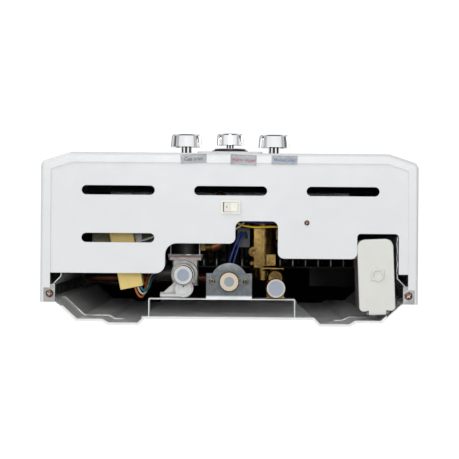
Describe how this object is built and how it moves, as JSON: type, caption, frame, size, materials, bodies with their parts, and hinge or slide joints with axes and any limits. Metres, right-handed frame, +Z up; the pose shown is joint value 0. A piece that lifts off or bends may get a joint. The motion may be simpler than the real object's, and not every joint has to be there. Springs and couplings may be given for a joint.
{
  "type": "portable gas water heater",
  "caption": "Wall-hung instant gas water heater with front knobs, folding carry handle, exposed bottom valves, battery bay and finned flue hood.",
  "frame": {"origin": "centre of the four wall holes, on the wall plane that the back pan's ribs stand against", "axes": "+Z up, -Y out of the front with its knobs, +Y into the wall, +X to the right of a user who faces the front"},
  "size_m": [0.42, 0.2181, 0.6755],
  "materials": {
    "case_paint": "satin",
    "galvanised": "satin",
    "fascia_grey": "satin",
    "black_plastic": "matte",
    "window_glass": "polished",
    "chrome": "polished",
    "shaft_steel": "satin",
    "ivory_plastic": "satin",
    "door_plastic": "satin",
    "pink_grey_plastic": "matte",
    "contact_metal": "bright",
    "dark_screw": "satin",
    "bright_screw": "satin",
    "die_cast": "cast",
    "dark_cast": "satin",
    "brass": "satin",
    "copper": "satin",
    "gasket": "matte",
    "tan_plastic": "matte",
    "plug_grey": "matte",
    "plug_cream": "matte",
    "burner_steel": "satin",
    "ceramic_white": "glazed",
    "grip_rubber": "matte",
    "lead_yellow": "satin",
    "lead_blue": "satin",
    "lead_white": "satin",
    "lead_orange": "satin"
  },
  "bodies": {
    "case": {"front_cover": "case_paint", "bottom_panel": "case_paint", "back_panel": "galvanised", "side_rails": "galvanised", "case_screws": "dark_screw", "fascia_plate": "fascia_grey", "display_window": "window_glass", "escutcheon": "black_plastic", "escutcheon_ring": "chrome", "season_selector": "black_plastic", "switch_housing": "ivory_plastic", "battery_box": "pink_grey_plastic", "battery_contacts": "contact_metal", "connector_bracket": "galvanised", "plate_screws": "bright_screw", "gas_bonnet": "dark_cast", "valve_yoke": "galvanised", "valve_gasket": "gasket", "valve_plate": "die_cast", "gas_valve_body": "die_cast", "gas_solenoid": "black_plastic", "gas_inlet_fitting": "brass", "gas_pipe": "copper", "gas_union_nut": "brass", "gas_rail": "galvanised", "gas_nozzles": "brass", "water_valve_body": "brass", "water_inlet_fitting": "brass", "flow_microswitch": "black_plastic", "cold_pipe": "copper", "hot_pipe": "copper", "outlet_fitting": "brass", "burner_blades": "burner_steel", "burner_frame": "galvanised", "burner_brackets": "galvanised", "combustion_chamber": "copper", "electrodes": "ceramic_white", "heat_exchanger": "copper", "flue_collector": "galvanised", "flue_hood": "galvanised", "ignition_controller": "tan_plastic", "controller_bracket": "galvanised", "handle_brackets": "galvanised", "lead_yellow": "lead_yellow", "lead_blue": "lead_blue", "lead_white": "lead_white", "leads_controller": "lead_orange"},
    "gas_control": {"gas_knob": "chrome", "gas_shaft": "shaft_steel"},
    "season_control": {"season_knob": "chrome", "season_shaft": "shaft_steel"},
    "water_control": {"water_knob": "chrome", "water_shaft": "shaft_steel"},
    "switch_rocker": {"power_rocker": "ivory_plastic"},
    "compartment_door": {"battery_door": "door_plastic"},
    "carry_handle": {"handle_bail": "chrome", "handle_grip": "grip_rubber"},
    "gas_cap": {"gas_plug": "plug_grey"},
    "outlet_cap": {"outlet_plug": "plug_cream"},
    "inlet_cap": {"inlet_plug": "plug_grey"}
  },
  "joints": [
    {"name": "gas_knob_turn", "type": "hinge", "parent": "case", "child": "gas_control", "pos_m": [-0.051, -0.202, -0.22], "axis": [0, 1, 0], "range_deg": [0, 120]},
    {"name": "season_knob_turn", "type": "hinge", "parent": "case", "child": "season_control", "pos_m": [0, -0.202, -0.22], "axis": [0, 1, 0], "range_deg": [0, 90]},
    {"name": "water_knob_turn", "type": "hinge", "parent": "case", "child": "water_control", "pos_m": [0.051, -0.202, -0.22], "axis": [0, 1, 0], "range_deg": [0, 270]},
    {"name": "power_rocker_tilt", "type": "hinge", "parent": "case", "child": "switch_rocker", "pos_m": [0.001, -0.132, -0.318], "axis": [0, 1, 0], "range_deg": [0, 16]},
    {"name": "battery_door_hinge", "type": "hinge", "parent": "case", "child": "compartment_door", "pos_m": [0.16526, -0.01554, -0.3176], "axis": [0.9991, -0.0419, 0], "range_deg": [0, 90]},
    {"name": "carry_handle_swing", "type": "hinge", "parent": "case", "child": "carry_handle", "pos_m": [0, -0.052, 0.3313], "axis": [-1, 0, 0], "range_deg": [0, 90]},
    {"name": "gas_plug_slide", "type": "slide", "parent": "case", "child": "gas_cap", "axis": [0, 0, -1], "range_m": [0, 0.01]},
    {"name": "outlet_plug_slide", "type": "slide", "parent": "case", "child": "outlet_cap", "axis": [0, 0, -1], "range_m": [0, 0.01]},
    {"name": "inlet_plug_slide", "type": "slide", "parent": "case", "child": "inlet_cap", "axis": [0, 0, -1], "range_m": [0, 0.01]}
  ]
}
